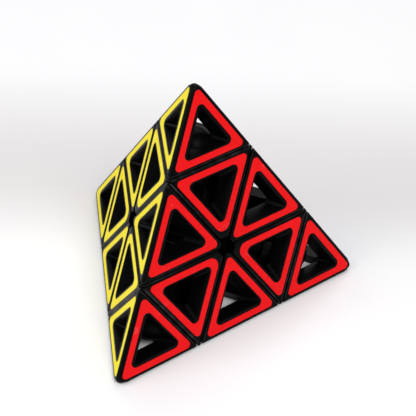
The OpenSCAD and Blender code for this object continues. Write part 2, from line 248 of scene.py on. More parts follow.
class NodeBench:
    """Adds nodes to a tree, sets their values and links their inputs."""

    def __init__(self, tree: bpy.types.NodeTree) -> None:
        """Keeps the tree to work on.

        Args:
            tree: A geometry, material or group tree.
        """
        self.tree = tree
        self.placed = 0

    def add(self, kind: str, inputs: dict | None = None, **settings: object) -> bpy.types.Node:
        """Adds one node.

        Args:
            kind: The node's type name.
            inputs: Value or source socket of each input, by the input's name or number.
            settings: The node's own properties.

        Returns:
            The new node.
        """
        node = self.tree.nodes.new(kind)
        node.location = (180.0 * (self.placed % 12), -220.0 * (self.placed // 12))
        self.placed += 1
        for key, value in settings.items():
            setattr(node, key, value)
        for key, value in (inputs or {}).items():
            self.feed(node.inputs[key], value)
        return node

    def out(
        self, kind: str, inputs: dict | None = None, **settings: object
    ) -> bpy.types.NodeSocket:
        """Adds one node, as add does, and gives its first output."""
        return self.add(kind, inputs, **settings).outputs[0]

    def feed(self, socket: bpy.types.NodeSocket, value: object) -> None:
        """Links a source socket to an input, or sets its value.

        Args:
            socket: The input.
            value: A source socket or a plain value.
        """
        if isinstance(value, bpy.types.NodeSocket):
            self.tree.links.new(value, socket)
        else:
            socket.default_value = value

    def sum(self, operation: str, *values: object, clamp: bool = False) -> bpy.types.NodeSocket:
        """Adds a Math node.

        Args:
            operation: The node's operation.
            values: Its inputs in order.
            clamp: Whether its result is held between 0 and 1.

        Returns:
            Its output.
        """
        node = self.add("ShaderNodeMath", operation=operation, use_clamp=clamp)
        for socket, value in zip(node.inputs, values):
            self.feed(socket, value)
        return node.outputs[0]

    def spread(
        self,
        value: bpy.types.NodeSocket,
        source: tuple[float, float],
        target: tuple[float, float] = (0.0, 1.0),
        **settings: object,
    ) -> bpy.types.NodeSocket:
        """Carries a value from one range to another and holds it there.

        Args:
            value: The value.
            source: The range that it is in.
            target: The range that it is carried to.
            settings: The node's own properties.

        Returns:
            The result.
        """
        inputs = {"Value": value}
        inputs.update({"From Min": source[0], "From Max": source[1]})
        inputs.update({"To Min": target[0], "To Max": target[1]})
        return self.out("ShaderNodeMapRange", inputs, **settings)

    def whole(self, operation: str, *values: object) -> bpy.types.NodeSocket:
        """Adds an Integer Math node.

        Args:
            operation: The node's operation.
            values: Its inputs in order.

        Returns:
            Its output.
        """
        node = self.add("FunctionNodeIntegerMath", operation=operation)
        for socket, value in zip(node.inputs, values):
            self.feed(socket, value)
        return node.outputs[0]

    def vector(self, operation: str, *values: object) -> bpy.types.NodeSocket:
        """Adds a Vector Math node.

        Args:
            operation: The node's operation.
            values: Its vector inputs in order.

        Returns:
            Its vector output.
        """
        node = self.add("ShaderNodeVectorMath", operation=operation)
        for socket, value in zip(node.inputs, values):
            self.feed(socket, value)
        return node.outputs[0]

    def at_index(
        self, shape: bpy.types.NodeSocket, index: bpy.types.NodeSocket
    ) -> bpy.types.NodeSocket:
        """Reads the place of one point of a curve.

        Args:
            shape: The curve's geometry.
            index: Which point.

        Returns:
            The point's place.
        """
        place = self.out("GeometryNodeInputPosition")
        node = self.add("GeometryNodeSampleIndex", data_type="FLOAT_VECTOR", domain="POINT")
        self.feed(node.inputs["Geometry"], shape)
        self.feed(node.inputs["Value"], place)
        self.feed(node.inputs["Index"], index)
        return node.outputs[0]


class ShapeTree:
    """A Geometry Nodes tree with named inputs, which ends in Realize Instances and Set Material."""

    def __init__(self, name: str, inputs: dict[str, object]) -> None:
        """Makes the empty tree and its inputs.

        Args:
            name: The tree's name.
            inputs: Default value of each input by name. A whole number makes an integer input.
        """
        self.tree = bpy.data.node_groups.new(name, "GeometryNodeTree")
        self.bench = NodeBench(self.tree)
        face = self.tree.interface
        face.new_socket("Geometry", in_out="INPUT", socket_type="NodeSocketGeometry")
        face.new_socket("Geometry", in_out="OUTPUT", socket_type="NodeSocketGeometry")
        self.identifiers: dict[str, str] = {}
        for key, value in inputs.items():
            kind = "NodeSocketInt" if isinstance(value, int) else "NodeSocketFloat"
            socket = face.new_socket(key, in_out="INPUT", socket_type=kind)
            socket.default_value = value
            self.identifiers[key] = socket.identifier
        finish = face.new_socket("Finish", in_out="INPUT", socket_type="NodeSocketMaterial")
        self.identifiers["Finish"] = finish.identifier
        self.source = self.bench.add("NodeGroupInput")

    def value(self, name: str) -> bpy.types.NodeSocket:
        """The socket of a named input."""
        return self.source.outputs[name]

    def close(self, shape: bpy.types.NodeSocket) -> None:
        """Ends the tree.

        Args:
            shape: The geometry that it gives.
        """
        real = self.bench.add("GeometryNodeRealizeInstances", {"Geometry": shape})
        painted = self.bench.add(
            "GeometryNodeSetMaterial",
            {"Geometry": real.outputs[0], "Material": self.value("Finish")},
        )
        self.bench.add("NodeGroupOutput", {0: painted.outputs[0]})

    def make(
        self,
        name: str,
        start: bpy.types.Mesh,
        values: dict[str, object],
        finish: bpy.types.Material,
    ) -> bpy.types.Mesh:
        """Runs the tree and gives the result as a plain mesh.

        Args:
            name: Name of the mesh.
            start: The mesh that the tree starts from.
            values: Values of its inputs by name.
            finish: The material.

        Returns:
            The finished mesh.
        """
        carrier = bpy.data.objects.new(name + "_carrier", start)
        bpy.context.scene.collection.objects.link(carrier)
        modifier = carrier.modifiers.new("shape", "NODES")
        modifier.node_group = self.tree
        for key, value in values.items():
            modifier[self.identifiers[key]] = value
        modifier[self.identifiers["Finish"]] = finish
        mesh = bpy.data.meshes.new_from_object(
            carrier.evaluated_get(bpy.context.evaluated_depsgraph_get())
        )
        carrier.modifiers.clear()
        bpy.data.objects.remove(carrier)
        mesh.name = name
        return mesh


# ------------------------------------------------------------------------------------------ shared effects


class ShaderEffect:
    """A shader node group with named inputs and outputs, built once and placed in many materials."""

    def __init__(self, name: str, inputs: dict[str, float], outputs: tuple[str, ...]) -> None:
        """Makes the empty group and its sockets.

        Args:
            name: The group's name.
            inputs: Default value of each number that it takes, besides Place.
            outputs: The numbers that it gives.
        """
        self.group = bpy.data.node_groups.new(name, "ShaderNodeTree")
        self.bench = NodeBench(self.group)
        face = self.group.interface
        face.new_socket("Place", in_out="INPUT", socket_type="NodeSocketVector")
        for key, value in inputs.items():
            socket = face.new_socket(key, in_out="INPUT", socket_type="NodeSocketFloat")
            socket.default_value = value
        for key in outputs:
            face.new_socket(key, in_out="OUTPUT", socket_type="NodeSocketFloat")
        self.source = self.bench.add("NodeGroupInput")
        self.sink = self.bench.add("NodeGroupOutput")

    def value(self, name: str) -> bpy.types.NodeSocket:
        """The socket of a named input."""
        return self.source.outputs[name]

    def noise(self, scale: object, **values: float) -> bpy.types.NodeSocket:
        """Adds a noise over the place.

        Args:
            scale: Its scale or that number's source.
            values: Its other inputs, in lower case.

        Returns:
            The noise's value.
        """
        inputs = {"Vector": self.value("Place"), "Scale": scale}
        inputs.update({key.capitalize(): value for key, value in values.items()})
        return self.bench.out("ShaderNodeTexNoise", inputs)

    def give(self, name: str, socket: bpy.types.NodeSocket) -> None:
        """Links a result to a named output."""
        self.bench.feed(self.sink.inputs[name], socket)

    def place(self, bench: NodeBench, values: dict[str, object]) -> bpy.types.Node:
        """Places the group in a material.

        Args:
            bench: The material's bench.
            values: Value or source of each input.

        Returns:
            The group's node there.
        """
        return bench.add("ShaderNodeGroup", values, node_tree=self.group)


class EffectShelf:
    """The effects that the puzzle's finishes share."""

    def __init__(self) -> None:
        """Builds each effect once."""
        self.grain = self.moulded_grain()
        self.rubbed = self.rubbed_edges()
        self.hairlines = self.fine_hairlines()
        self.smudges = self.finger_smudges()

    @staticmethod
    def moulded_grain() -> ShaderEffect:
        """Makes the faint spark-eroded grain of a mould's surface.

        Returns:
            The effect, with Height and Shade.
        """
        effect = ShaderEffect(
            "moulded_grain", {"Scale": 2200.0, "Patch": 90.0}, ("Height", "Shade")
        )
        fine = effect.noise(effect.value("Scale"), detail=3.0, roughness=0.6)
        flow = effect.noise(effect.value("Patch"), detail=2.0, distortion=0.6)
        effect.give("Height", effect.bench.sum("MULTIPLY_ADD", flow, 0.7, fine))
        effect.give("Shade", effect.bench.spread(flow, (0.35, 0.7)))
        return effect

    @staticmethod
    def rubbed_edges() -> ShaderEffect:
        """Makes the broken line of polish where fingers rub a piece's edges.

        Returns:
            The effect, with Mask. Its input Edge is 1 on the crown of a softened edge.
        """
        effect = ShaderEffect(
            "rubbed_edges", {"Edge": 0.0, "Scale": 320.0, "Amount": 0.5}, ("Mask",)
        )
        bench = effect.bench
        breaks = effect.noise(effect.value("Scale"), detail=4.0, roughness=0.65)
        gate = bench.spread(breaks, (0.42, 0.66), (0.15, 1.0))
        worn = bench.sum("MULTIPLY", bench.sum("POWER", effect.value("Edge"), 1.6), gate)
        mask = bench.sum("MULTIPLY", worn, effect.value("Amount"), clamp=True)
        effect.give("Mask", mask)
        return effect

    @staticmethod
    def fine_hairlines() -> ShaderEffect:
        """Makes sparse hairline marks from handling, in two directions.

        Returns:
            The effect, with Mask.
        """
        effect = ShaderEffect("fine_hairlines", {"Scale": 260.0, "Sparse": 0.72}, ("Mask",))
        bench = effect.bench
        lines = []
        for turn, stretch in (
            ((0.3, 0.9, 0.5), (1.0, 0.06, 1.0)), ((1.1, -0.4, 1.7), (0.05, 1.0, 1.0))
        ):
            turned = bench.out(
                "ShaderNodeMapping",
                {"Vector": effect.value("Place"), "Rotation": turn, "Scale": stretch},
            )
            streaks = bench.out(
                "ShaderNodeTexNoise",
                {"Vector": turned, "Scale": effect.value("Scale"), "Detail": 1.0},
            )
            ridge = bench.sum("ABSOLUTE", bench.sum("SUBTRACT", streaks, 0.5))
            lines.append(bench.sum("LESS_THAN", ridge, 0.006))
        where = effect.noise(120.0, detail=2.0)
        there = bench.sum("GREATER_THAN", where, effect.value("Sparse"))
        effect.give("Mask", bench.sum("MULTIPLY", bench.sum("MAXIMUM", *lines), there))
        return effect

    @staticmethod
    def finger_smudges() -> ShaderEffect:
        """Makes the soft patches that touching leaves in a surface's gloss.

        Returns:
            The effect, with Gloss from 0 to 1.
        """
        effect = ShaderEffect("finger_smudges", {"Scale": 70.0}, ("Gloss",))
        patch = effect.noise(effect.value("Scale"), detail=5.0, roughness=0.55, distortion=0.8)
        effect.give("Gloss", effect.bench.spread(patch, (0.3, 0.72)))
        return effect


# ------------------------------------------------------------------------------------------ finishes


Colour = tuple[float, float, float]


@dataclass(frozen=True)
class Finish:
    """What every finish has: two close colours in soft patches, smudged gloss and a grain.

    Attributes:
        name: The material's name.
        tint: Its main colour.
        patch: Its colour in the patches.
        gloss: Roughness of the glossiest and of the dullest smudges.
        grain_scale: How fine the grain is.
        patch_scale: How fine the patches are.
        smudge_scale: How fine the smudges are.
        relief: Strength and height of the grain.
        even: Values that are the same all over, by the shader's input.
    """

    name: str
    tint: Colour
    patch: Colour
    gloss: tuple[float, float]
    grain_scale: float
    patch_scale: float
    smudge_scale: float
    relief: tuple[float, float]
    even: dict[str, float]

    def build(self, effects: EffectShelf) -> bpy.types.Material:
        """Makes the material.

        Args:
            effects: The shared effects.

        Returns:
            The material.
        """
        material, bench, shader = new_material(self.name)
        place = bench.add("ShaderNodeTexCoord").outputs["Object"]
        scales = {"Scale": self.grain_scale, "Patch": self.patch_scale}
        grain = effects.grain.place(bench, {"Place": place, **scales})
        smudge = effects.smudges.place(bench, {"Place": place, "Scale": self.smudge_scale})
        given = {
            "Base Color": mix_colour(bench, grain.outputs["Shade"], self.tint, self.patch),
            "Roughness": bench.spread(smudge.outputs["Gloss"], (0.0, 1.0), self.gloss),
        }
        given.update(self.marks(effects, bench, place, given))
        strength, height = self.relief
        given["Normal"] = bench.out(
            "ShaderNodeBump",
            {"Strength": strength, "Distance": height, "Height": grain.outputs["Height"]},
        )
        for key, value in (*given.items(), *self.even.items()):
            bench.feed(shader.inputs[key], value)
        return material

    def marks(
        self,
        effects: EffectShelf,
        bench: NodeBench,
        place: bpy.types.NodeSocket,
        given: dict[str, bpy.types.NodeSocket],
    ) -> dict[str, bpy.types.NodeSocket]:
        """Adds what use leaves on the surface, which is nothing unless a finish says so.

        Args:
            effects: The shared effects.
            bench: The material's bench.
            place: The place on the surface.
            given: What feeds the shader's inputs so far.

        Returns:
            What feeds some of them instead.
        """
        return {}


@dataclass(frozen=True)
class MouldedPlastic(Finish):
    """Black moulded plastic: faint grain, smudged gloss and edges polished by fingers.

    Attributes:
        rubbed: Its colour on the rubbed crown of an edge.
        polish: How strong a clear gloss the rubbed crown of an edge has.
    """

    tint: Colour = (0.0009, 0.0009, 0.001)
    patch: Colour = (0.0017, 0.0017, 0.0019)
    gloss: tuple[float, float] = (0.3, 0.44)
    grain_scale: float = 2200.0
    patch_scale: float = 85.0
    smudge_scale: float = 75.0
    relief: tuple[float, float] = (0.35, 0.012 * MM)
    even: dict[str, float] = field(
        default_factory=lambda: {"IOR": 1.5, "Specular IOR Level": 0.06, "Coat Roughness": 0.26}
    )
    rubbed: Colour = (0.018, 0.018, 0.0195)
    polish: float = 0.9

    def marks(
        self,
        effects: EffectShelf,
        bench: NodeBench,
        place: bpy.types.NodeSocket,
        given: dict[str, bpy.types.NodeSocket],
    ) -> dict[str, bpy.types.NodeSocket]:
        """Adds hairlines and the polish of rubbed edges.

        Args:
            effects: The shared effects.
            bench: The material's bench.
            place: The place on the surface.
            given: What feeds the shader's inputs so far.

        Returns:
            What feeds some of them instead.
        """
        lines = effects.hairlines.place(
            bench, {"Place": place, "Scale": 240.0, "Sparse": 0.58}
        ).outputs["Mask"]
        crown = bench.add("ShaderNodeAttribute", attribute_name="crown").outputs["Fac"]
        mask = effects.rubbed.place(
            bench, {"Place": place, "Edge": crown, "Scale": 300.0, "Amount": 0.7}
        ).outputs["Mask"]
        return {
            "Base Color": mix_colour(bench, mask, given["Base Color"], self.rubbed),
            "Roughness": bench.sum("MULTIPLY_ADD", lines, 0.16, given["Roughness"]),
            "Coat Weight": bench.sum("MULTIPLY", mask, self.polish),
        }


@dataclass(frozen=True)
class TileFilm(Finish):
    """A flat coloured tile: even dense colour, a satin skin and a few handling marks."""

    gloss: tuple[float, float] = (0.38, 0.54)
    grain_scale: float = 3200.0
    patch_scale: float = 60.0
    smudge_scale: float = 110.0
    relief: tuple[float, float] = (0.3, 0.006 * MM)
    even: dict[str, float] = field(
        default_factory=lambda: {"IOR": 1.5, "Specular IOR Level": 0.1}
    )

    def marks(
        self,
        effects: EffectShelf,
        bench: NodeBench,
        place: bpy.types.NodeSocket,
        given: dict[str, bpy.types.NodeSocket],
    ) -> dict[str, bpy.types.NodeSocket]:
        """Adds faint paler hairlines.

        Args:
            effects: The shared effects.
            bench: The material's bench.
            place: The place on the surface.
            given: What feeds the shader's inputs so far.

        Returns:
            What feeds some of them instead.
        """
        lines = effects.hairlines.place(
            bench, {"Place": place, "Scale": 210.0, "Sparse": 0.6}
        ).outputs["Mask"]
        faint = bench.sum("MULTIPLY", lines, 0.12)
        paler = tuple(c + 0.25 * (0.8 - c) for c in self.tint)
        return {"Base Color": mix_colour(bench, faint, given["Base Color"], paler)}


@dataclass(frozen=True)
class BrightSteel(Finish):
    """Drawn or turned steel with a fine brushed grain, under a faint film of oil."""

    tint: Colour = (0.62, 0.62, 0.63)
    patch: Colour = (0.46, 0.45, 0.43)
    gloss: tuple[float, float] = (0.2, 0.38)
    grain_scale: float = 3500.0
    patch_scale: float = 260.0
    smudge_scale: float = 240.0
    relief: tuple[float, float] = (0.25, 0.006 * MM)
    even: dict[str, float] = field(default_factory=lambda: {"Metallic": 1.0})


def new_material(name: str) -> tuple[bpy.types.Material, NodeBench, bpy.types.Node]:
    """Starts a material with a Principled shader.

    Args:
        name: The material's name.

    Returns:
        The material, the bench to build it on, and its shader.
    """
    material = bpy.data.materials.new(name)
    material.use_nodes = True
    material.node_tree.nodes.clear()
    bench = NodeBench(material.node_tree)
    shader = bench.add("ShaderNodeBsdfPrincipled")
    bench.add("ShaderNodeOutputMaterial", {"Surface": shader.outputs[0]})
    return material, bench, shader


def mix_colour(
    bench: NodeBench, factor: object, first: object, second: object
) -> bpy.types.NodeSocket:
    """Mixes two colours.

    Args:
        bench: The material's bench.
        factor: How much of the second colour there is.
        first: A colour or its source.
        second: A colour or its source.

    Returns:
        The mixed colour.
    """
    node = bench.add("ShaderNodeMix", data_type="RGBA", blend_type="MIX")
    colours = [s for s in node.inputs if s.type == "RGBA"]
    bench.feed(node.inputs[0], factor)
    for socket, value in zip(colours, (first, second)):
        bench.feed(socket, (*value, 1.0) if isinstance(value, tuple) else value)
    return [s for s in node.outputs if s.type == "RGBA"][0]


class FinishRack:
    """Every finish of the puzzle, built once."""

    def __init__(self) -> None:
        """Builds the shared effects and the materials."""
        effects = EffectShelf()
        matt_cap = {"IOR": 1.5, "Specular IOR Level": 0.03, "Coat Roughness": 0.26}
        self.frame_plastic = MouldedPlastic("frame_plastic").build(effects)
        self.cap_plastic = MouldedPlastic(
            "cap_plastic", gloss=(0.34, 0.46), even=matt_cap, polish=0.35
        ).build(effects)
        self.core_plastic = MouldedPlastic(
            "core_plastic",
            tint=(0.004, 0.004, 0.0045),
            patch=(0.006, 0.006, 0.0066),
            gloss=(0.34, 0.5),
        ).build(effects)
        self.steel = BrightSteel("turned_steel").build(effects)
        self.spring_steel = BrightSteel(
            "spring_steel", tint=(0.55, 0.55, 0.57), gloss=(0.16, 0.3)
        ).build(effects)
        self.tiles = {
            face: TileFilm(face.value + "_tile", tint, patch).build(effects)
            for face, tint, patch in (
                (FaceColour.RED, (0.86, 0.0055, 0.008), (0.83, 0.005, 0.007)),
                (FaceColour.YELLOW, (0.93, 0.78, 0.016), (0.9, 0.75, 0.014)),
                (FaceColour.BLUE, (0.008, 0.05, 0.52), (0.006, 0.042, 0.45)),
                (FaceColour.GREEN, (0.005, 0.32, 0.045), (0.004, 0.27, 0.038)),
            )
        }


# ------------------------------------------------------------------------------------------ pieces


def add_piece(name: str, mesh: bpy.types.Mesh) -> bpy.types.Object:
    """Puts a finished mesh in the scene as an object at the origin.

    Args:
        name: The piece's name.
        mesh: Its mesh, with its place in it.

    Returns:
        The object.
    """
    piece = bpy.data.objects.new(name, mesh)
    bpy.context.scene.collection.objects.link(piece)
    return piece


def stand_for(
    node: str, name: str, mesh: bpy.types.Mesh, body: str
) -> bpy.types.Object:
    """Puts a finished mesh in the place of a frame's node.

    Args:
        node: The node that it stands for.
        name: The piece's name.
        mesh: Its mesh, in place.
        body: The body that it rides on.

    Returns:
        The piece.
    """
    piece = add_piece(name, mesh)
    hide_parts(node)
    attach(piece, body)
    log.info("%s: %d faces on %s", name, len(mesh.polygons), body)
    return piece


def weighted_copy(mesh: bpy.types.Mesh, sharp: float) -> bpy.types.Mesh:
    """Shades a mesh smoothly, with flat faces kept flat beside their softened edges.

    Args:
        mesh: The mesh.
        sharp: Angle in degrees past which an edge stays sharp.

    Returns:
        A copy that carries the finished normals.
    """
    mesh.shade_smooth()
    mesh.set_sharp_from_angle(angle=math.radians(sharp))
    carrier = bpy.data.objects.new("shading_carrier", mesh)
    bpy.context.scene.collection.objects.link(carrier)
    modifier = carrier.modifiers.new("normals", "WEIGHTED_NORMAL")
    modifier.keep_sharp = True
    modifier.mode = "FACE_AREA"
    modifier.weight = 80
    shaded = bpy.data.meshes.new_from_object(
        carrier.evaluated_get(bpy.context.evaluated_depsgraph_get())
    )
    carrier.modifiers.clear()
    bpy.data.objects.remove(carrier)
    return shaded


@dataclass
class MouldedPieces:
    """The black pieces: four tips, four axial pieces, six edge pieces and the core.

    Attributes:
        form: The pyramid's sizes.
        outer_round: How far a piece's outer edges are softened.
        outer_steps: Steps across such an edge.
        lip_round: How far the edges of windows, recesses and bores are softened.
        lip_steps: Steps across such an edge.
        flat_angle: Faces that turn less than this are one face.
        edge_angle: An edge that turns more than this is softened.
        shade_angle: An edge that turns more than this stays sharp in the shading.
        skin: How far under the faces the pyramid's rounded edges still count as its outside.
        point_reach: Nothing further out than this, at a corner's blunt end, is an outer edge.
    """

    form: PyramidForm
    outer_round: float = 0.8 * MM
    outer_steps: int = 4
    lip_round: float = 0.12 * MM
    lip_steps: int = 2
    flat_angle: float = 0.4
    edge_angle: float = 31.0
    shade_angle: float = 41.0
    skin: float = 0.5 * MM
    point_reach: float = 50.0 * MM

    def build(self, nodes: dict[str, bpy.types.Object], finishes: FinishRack) -> None:
        """Makes every moulded piece.

        Args:
            nodes: The frame's nodes by name.
            finishes: The finishes.
        """
        for name in sorted(nodes):
            if name.split("_")[0] in ("tip", "axial", "edge"):
                self.make(nodes[name], name, "frame_plastic", finishes.frame_plastic)
        self.make(nodes["core"], "core", "core_plastic", finishes.core_plastic)

    def make(
        self, node: bpy.types.Object, body: str, slot: str, finish: bpy.types.Material
    ) -> bpy.types.Object:
        """Makes one moulded piece from its solid.

        Args:
            node: The frame's node.
            body: The body that it rides on.
            slot: The record's material slot, which is not used.
            finish: Its material.

        Returns:
            The piece.
        """
        mesh = weighted_copy(self.softened(node.data, body), self.shade_angle)
        mesh.name = body + "_moulding"
        mesh.materials.clear()
        mesh.materials.append(finish)
        return stand_for(node.name, body + "_moulding", mesh, body)

    def softened(self, source: bpy.types.Mesh, body: str) -> bpy.types.Mesh:
        """Merges a solid's loose triangles and softens its outward edges.

        Args:
            source: The solid's mesh, which stays as it is.
            body: The piece's body, whose name holds its corners.

        Returns:
            A new mesh, with a crown value on the softened edges.
        """
        work = bmesh.new()
        work.from_mesh(source)
        bmesh.ops.remove_doubles(work, verts=work.verts, dist=SAME_POINT)
        self.merge_flats(work, self.halving_planes(body))
        crown = work.verts.layers.float.new("crown")
        outer = [e for e in work.edges if self.is_outer(e)]
        self.soften(work, outer, self.outer_round, self.outer_steps, crown)
        lips = [e for e in work.edges if self.is_lip(e)]
        self.soften(work, lips, self.lip_round, self.lip_steps, crown)
        mesh = bpy.data.meshes.new("softened")
        work.to_mesh(mesh)
        work.free()
        return mesh

    @staticmethod
    def halving_planes(body: str) -> list[Vector]:
        """Gives the planes through the centre that part a piece into mirrored halves.

        Args:
            body: The piece's body.

        Returns:
            The direction square to each plane.
        """
        own = [c for c in Corner if c.value in body.split("_")[1:]]
        others = [c for c in Corner if c not in own]
        if not own:
            return []
        return [
            (one.axis - two.axis).normalized()
            for group in (own, others)
            for k, one in enumerate(group)
            for two in group[k + 1 :]
        ]

    def merge_flats(self, work: bmesh.types.BMesh, planes: list[Vector]) -> None:
        """Makes one face of each flat stretch, parted only where a mirror plane crosses it.

        A flat face with a hole in it can't be one polygon, and these planes cross every such face.

        Args:
            work: The mesh in hand.
            planes: The directions square to the mirror planes.
        """
        for normal in planes:
            bmesh.ops.bisect_plane(
                work,
                geom=[*work.verts, *work.edges, *work.faces],
                dist=SAME_POINT,
                plane_co=(0.0, 0.0, 0.0),
                plane_no=normal,
            )
        work.normal_update()
        if not planes:
            bmesh.ops.dissolve_limit(
                work,
                angle_limit=math.radians(self.flat_angle),
                verts=work.verts,
                edges=work.edges,
            )
            return
        flat = [
            edge
            for edge in work.edges
            if edge.is_manifold
            and edge.calc_face_angle(math.pi) < math.radians(self.flat_angle)
            and not any(
                all(abs(v.co.dot(normal)) < 2.0 * SAME_POINT for v in edge.verts) for normal in planes
            )
        ]
        bmesh.ops.dissolve_edges(work, edges=flat, use_verts=True)
        work.normal_update()

    def turns_outward(self, edge: bmesh.types.BMEdge) -> bool:
        """Whether an edge is an outward one that turns enough to be softened."""
        return (
            edge.is_manifold
            and edge.is_convex
            and edge.calc_face_angle(0.0) > math.radians(self.edge_angle)
        )

    def is_outer(self, edge: bmesh.types.BMEdge) -> bool:
        """Tells whether an edge lies where a cut between two pieces meets the pyramid's outside.

        Args:
            edge: The edge.

        Returns:
            True for such an edge.
        """
        if not self.turns_outward(edge):
            return False
        middle = (edge.verts[0].co + edge.verts[1].co) / 2.0
        if middle.length > self.point_reach or not self.is_outside(middle):
            return False
        return any(
            abs(face.normal.dot(corner.axis)) > 0.9999 and middle.dot(corner.axis) > 0.0
            for face in edge.link_faces
            for corner in Corner
        )

    def is_outside(self, place: Vector) -> bool:
        """Whether a place is on the pyramid's faces or rounded edges."""
        height = max(-place.dot(corner.axis) for corner in Corner)
        return height > self.form.face_r - self.skin

    def is_lip(self, edge: bmesh.types.BMEdge) -> bool:
        """Tells whether an edge is the lip of a window, a recess or a bore.

        Args:
            edge: The edge.

        Returns:
            True for a square outward edge between flat faces that reach past the rounding.
        """
        if not self.turns_outward(edge):
            return False
        one, two = (f.normal for f in edge.link_faces)
        return abs(one.dot(two)) < 0.5 and edge.calc_length() > 0.2 * MM

    @staticmethod
    def soften(
        work: bmesh.types.BMesh,
        edges: list[bmesh.types.BMEdge],
        size: float,
        steps: int,
        crown: bmesh.types.BMLayerItem,
    ) -> None:
        """Rounds some edges and marks their crowns.

        Args:
            work: The mesh in hand.
            edges: The edges.
            size: How far they are rounded.
            steps: Steps across each.
            crown: The layer that marks the middle of a rounding.
        """
        made = bmesh.ops.bevel(
            work,
            geom=edges,
            offset=size,
            offset_type="OFFSET",
            segments=steps,
            profile=0.5,
            affect="EDGES",
            clamp_overlap=False,
        )
        fresh = set(made["faces"])
        for vertex in made["verts"]:
            if vertex.is_valid and all(f in fresh for f in vertex.link_faces):
                vertex[crown] = 1.0
        work.normal_update()


